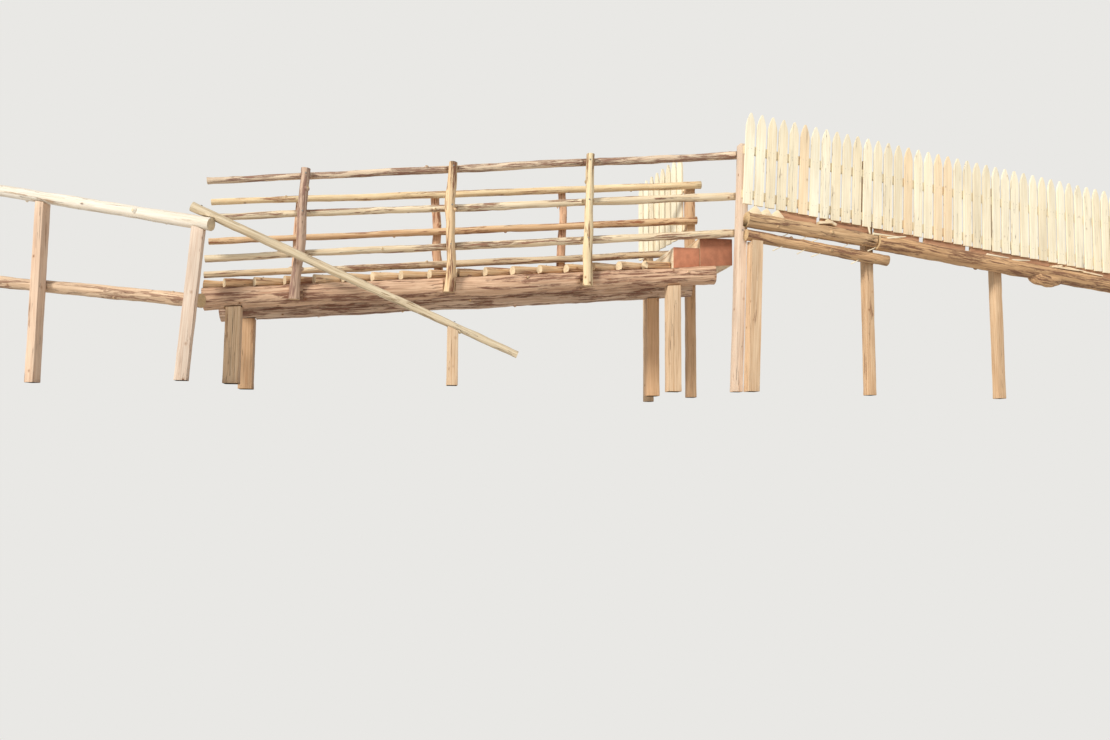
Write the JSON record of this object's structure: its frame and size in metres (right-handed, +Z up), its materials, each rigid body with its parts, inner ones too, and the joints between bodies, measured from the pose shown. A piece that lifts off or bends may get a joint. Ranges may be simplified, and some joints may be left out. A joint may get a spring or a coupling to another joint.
{
  "type": "log footbridge",
  "caption": "Sloping footbridge of peeled logs with a skewed pole deck, railings, timber steps, a handrail at its lower end and a picket fence at its upper end.",
  "frame": {"origin": "centre of the near left leg's foot, on the floor", "axes": "+X along the bridge towards its upper, right end, +Y across it to the far side, +Z up"},
  "size_m": [13.557, 2.4084, 2.9113],
  "materials": {
    "peeled_log": "matte, peeled and weathered",
    "deck_pole": "matte, peeled",
    "squared_timber": "matte, hewn",
    "round_post": "matte, peeled",
    "step_timber": "matte, stained reddish brown",
    "fence_board": "matte, rough-sawn",
    "sill_log": "matte, peeled and weathered"
  },
  "bodies": {
    "root": {"near_beam": "peeled_log", "far_beam": "peeled_log", "near_left_leg": "squared_timber", "near_right_leg": "squared_timber", "far_left_leg": "squared_timber", "far_right_leg": "squared_timber", "deck_poles_1": "deck_pole", "deck_poles_2": "deck_pole", "deck_poles_3": "deck_pole", "deck_poles_4": "deck_pole", "lower_step": "step_timber", "upper_step": "step_timber", "near_post_1": "round_post", "near_post_2": "round_post", "near_post_3": "round_post", "near_end_post": "squared_timber", "far_post_1": "round_post", "far_post_2": "round_post", "far_post_3": "round_post", "far_end_post": "squared_timber", "near_top_rail": "peeled_log", "near_middle_rail": "peeled_log", "near_bottom_rail": "peeled_log", "far_top_rail": "peeled_log", "far_middle_rail": "peeled_log", "far_bottom_rail": "peeled_log", "newel_post": "squared_timber", "handrail_post_1": "squared_timber", "handrail_post_2": "squared_timber", "handrail": "peeled_log", "edge_log": "peeled_log", "descending_rail": "peeled_log", "short_post": "squared_timber", "fence_panel_1": "fence_board", "fence_panel_2": "fence_board", "fence_panel_3": "fence_board", "fence_post_1": "squared_timber", "fence_post_2": "squared_timber", "fence_post_3": "squared_timber", "upper_sill_log": "sill_log", "lower_sill_log": "sill_log", "long_sill_log": "sill_log", "sill_stub": "squared_timber", "wing_panel": "fence_board", "wing_post": "squared_timber"}
  },
  "joints": []
}
